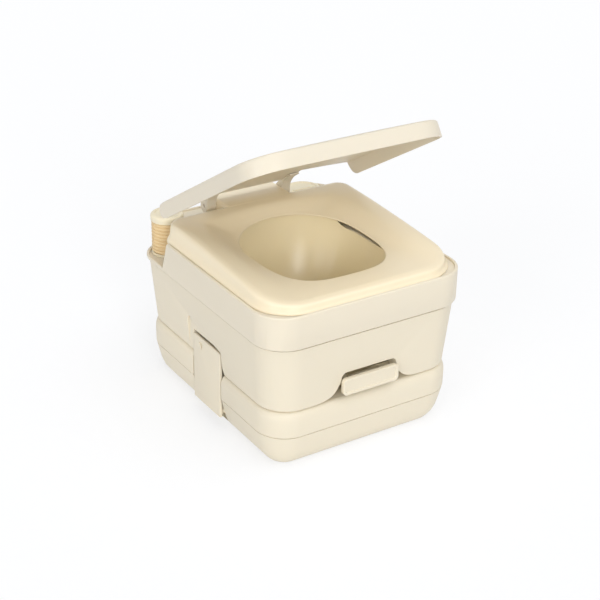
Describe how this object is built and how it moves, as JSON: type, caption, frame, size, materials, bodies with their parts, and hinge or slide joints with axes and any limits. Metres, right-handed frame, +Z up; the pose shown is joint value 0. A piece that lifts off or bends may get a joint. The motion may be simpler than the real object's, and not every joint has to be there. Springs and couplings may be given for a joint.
{
  "type": "portable camping toilet",
  "caption": "Two-tank portable toilet with bowl, hinged seat and lid, bellows flush pump, pull-out valve handle, side latches and swinging pouring spout.",
  "frame": {"origin": "centre of the base on the floor", "axes": "+Z up; the valve handle's face looks along -Y; the hinge of seat and lid runs along X at the rear (+Y); the bellows pump is at the rear left (-X, +Y)"},
  "size_m": [0.333, 0.394, 0.4562],
  "materials": {
    "shell": "satin warm cream, moulded",
    "band": "satin warm cream, moulded",
    "seat": "soft sheen beige",
    "lid": "satin warm cream",
    "bellows": "tan, soft",
    "seal_rubber": "black, matt",
    "grey_plastic": "grey, satin",
    "steel": "bright"
  },
  "bodies": {
    "tanks": {"lower_tank": "shell", "upper_tank": "shell", "bowl_deck": "band", "bowl_outlet_seal": "seal_rubber", "valve_body": "grey_plastic", "valve_seal_lower": "seal_rubber", "valve_cover": "grey_plastic", "valve_seal_upper": "seal_rubber", "valve_screw_1": "steel", "valve_screw_2": "steel", "valve_screw_3": "steel", "valve_screw_4": "steel", "hinge_pin": "steel", "pump_base": "shell", "pump_bellows": "bellows", "pump_strainer": "grey_plastic", "pump_suction_tube": "grey_plastic", "flush_nozzle": "band", "flush_tube": "grey_plastic", "filler_gasket": "seal_rubber", "latch_pin_left": "steel", "latch_pin_right": "steel", "spout_gasket": "seal_rubber"},
    "seat": {"seat": "seat", "seat_pad_front_left": "seal_rubber", "seat_pad_front_right": "seal_rubber", "seat_pad_rear_left": "seal_rubber", "seat_pad_rear_right": "seal_rubber"},
    "lid": {"lid": "lid"},
    "pump_top": {"pump_cap": "band"},
    "filler_lid": {"filler_cap": "band"},
    "valve_slide_plate": {"valve_blade": "grey_plastic", "valve_handle": "shell", "valve_handle_pin": "steel"},
    "left_latch": {"latch_left": "shell"},
    "right_latch": {"latch_right": "shell"},
    "spout": {"pour_spout": "shell"},
    "spout_end_cap": {"spout_cap": "band"},
    "vent": {"vent_button": "grey_plastic"}
  },
  "joints": [
    {"name": "seat_hinge", "type": "hinge", "parent": "tanks", "child": "seat", "pos_m": [0, 0.15, 0.266], "axis": [-1, 0, 0], "range_deg": [0, 60]},
    {"name": "lid_hinge", "type": "hinge", "parent": "seat", "child": "lid", "pos_m": [0, 0.15, 0.266], "axis": [-1, 0, 0], "range_deg": [-31.6, 63]},
    {"name": "pump_press", "type": "slide", "parent": "tanks", "child": "pump_top", "axis": [0, 0, -1], "range_m": [0, 0.03], "stiffness_N_per_m": 180, "springref_m": -0.01, "deforming": ["pump_bellows"]},
    {"name": "filler_cap_turn", "type": "hinge", "parent": "tanks", "child": "filler_lid", "pos_m": [0.112, 0.162, 0.25], "axis": [0, 0, 1], "range_deg": [0, 180]},
    {"name": "valve_slide", "type": "slide", "parent": "tanks", "child": "valve_slide_plate", "axis": [0, -1, 0], "range_m": [0, 0.096]},
    {"name": "left_latch_hinge", "type": "hinge", "parent": "tanks", "child": "left_latch", "pos_m": [-0.148, -0.005, 0.032], "axis": [0, -1, 0], "range_deg": [0, 75]},
    {"name": "right_latch_hinge", "type": "hinge", "parent": "tanks", "child": "right_latch", "pos_m": [0.148, -0.005, 0.032], "axis": [0, 1, 0], "range_deg": [0, 75]},
    {"name": "spout_swing", "type": "hinge", "parent": "tanks", "child": "spout", "pos_m": [0.095, 0.15, 0.11], "axis": [0, 0, -1], "range_deg": [0, 90]},
    {"name": "spout_cap_turn", "type": "hinge", "parent": "spout", "child": "spout_end_cap", "pos_m": [0.04, 0.15, 0.1257], "axis": [1, 0, 0], "range_deg": [0, 180]},
    {"name": "vent_press", "type": "slide", "parent": "tanks", "child": "vent", "axis": [0, 0, -1], "range_m": [0, 0.003], "stiffness_N_per_m": 300, "springref_m": -0.002}
  ]
}
